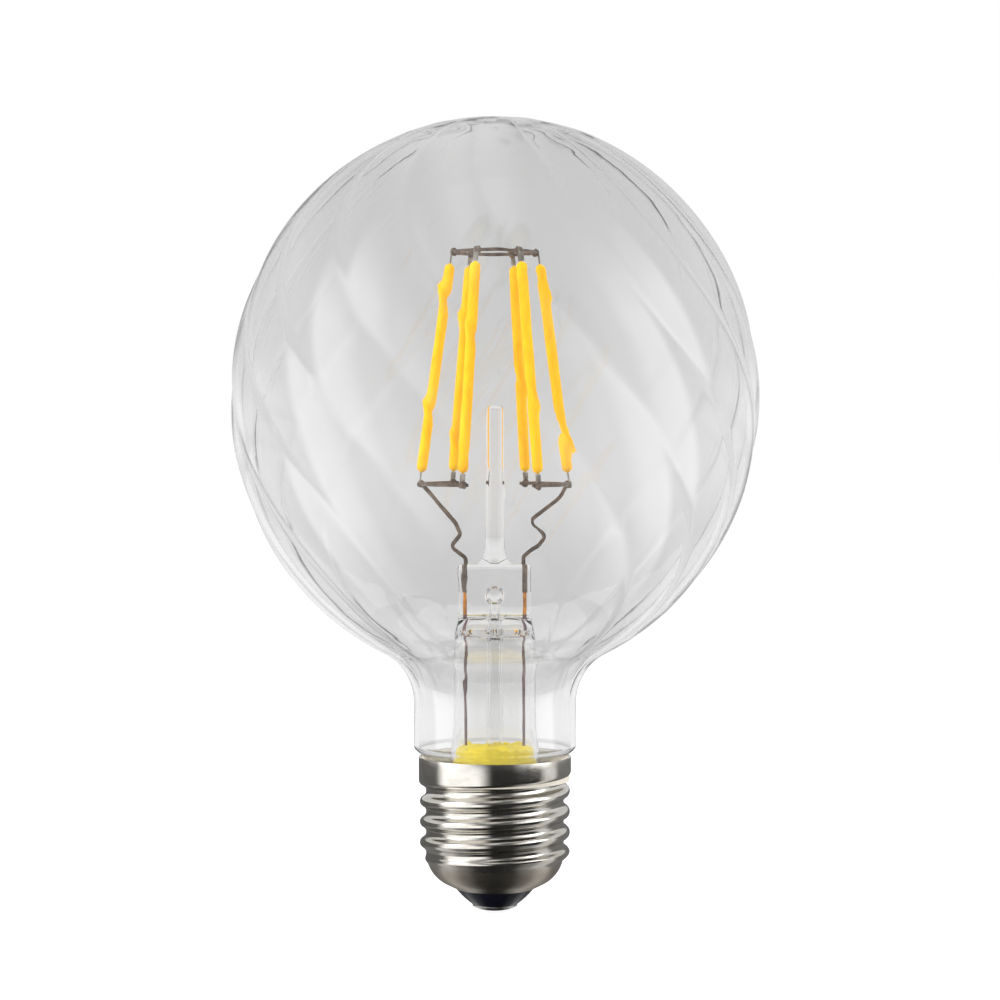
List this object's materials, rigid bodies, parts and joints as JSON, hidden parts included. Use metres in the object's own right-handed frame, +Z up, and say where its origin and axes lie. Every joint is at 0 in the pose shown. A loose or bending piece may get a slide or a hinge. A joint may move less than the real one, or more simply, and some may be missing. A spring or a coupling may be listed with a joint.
{
  "type": "led filament bulb",
  "caption": "Globe LED filament bulb with a clear, twisted and lobed glass envelope, leaning filaments on a glass stem and a screw cap.",
  "frame": {"origin": "tip of the centre contact, on the lamp's axis", "axes": "+Z up the lamp's axis from the cap to the globe, -Y the side the picture shows, +X to its right"},
  "size_m": [0.0924, 0.0924, 0.1391],
  "materials": {
    "clear_glass": "clear, fire polished",
    "stem_glass": "clear, fire polished",
    "black_glass": "opaque, glossy",
    "cap_sheet": "bright nickel plate",
    "contact_metal": "tinned, satin",
    "support_wire": "drawn wire, heat darkened",
    "seal_wire": "copper-clad wire in glass",
    "outer_wire": "thin drawn wire",
    "end_tab": "stamped strip",
    "phosphor": "phosphor-filled silicone, matt, unlit",
    "cement": "fired, matt",
    "adhesive": "cured silicone, satin",
    "board": "glass-fibre laminate",
    "package": "moulded, matt",
    "capacitor_can": "sleeved can",
    "resistor_body": "lacquered"
  },
  "bodies": {
    "root": {"glass_envelope": "clear_glass", "basing_cement": "cement", "screw_shell": "cap_sheet", "insulator": "black_glass", "centre_contact": "contact_metal", "glass_stem": "stem_glass", "exhaust_tube": "stem_glass", "glass_post": "stem_glass", "inner_lead_left": "support_wire", "inner_lead_right": "support_wire", "seal_wire_left": "seal_wire", "seal_wire_right": "seal_wire", "outer_lead_left": "outer_wire", "outer_lead_right": "outer_wire", "bridge_wire_left": "support_wire", "bridge_wire_right": "support_wire", "top_hoop": "support_wire", "lower_end_tabs": "end_tab", "upper_end_tabs": "end_tab", "driver_adhesive": "adhesive", "driver_board": "board", "rectifier": "package", "driver_chip": "package", "smoothing_capacitor": "capacitor_can", "fuse_resistor": "resistor_body", "live_wire": "outer_wire", "neutral_wire": "outer_wire", "filament_1": "phosphor", "filament_2": "phosphor", "filament_3": "phosphor", "filament_4": "phosphor", "filament_5": "phosphor", "filament_6": "phosphor"}
  },
  "joints": []
}
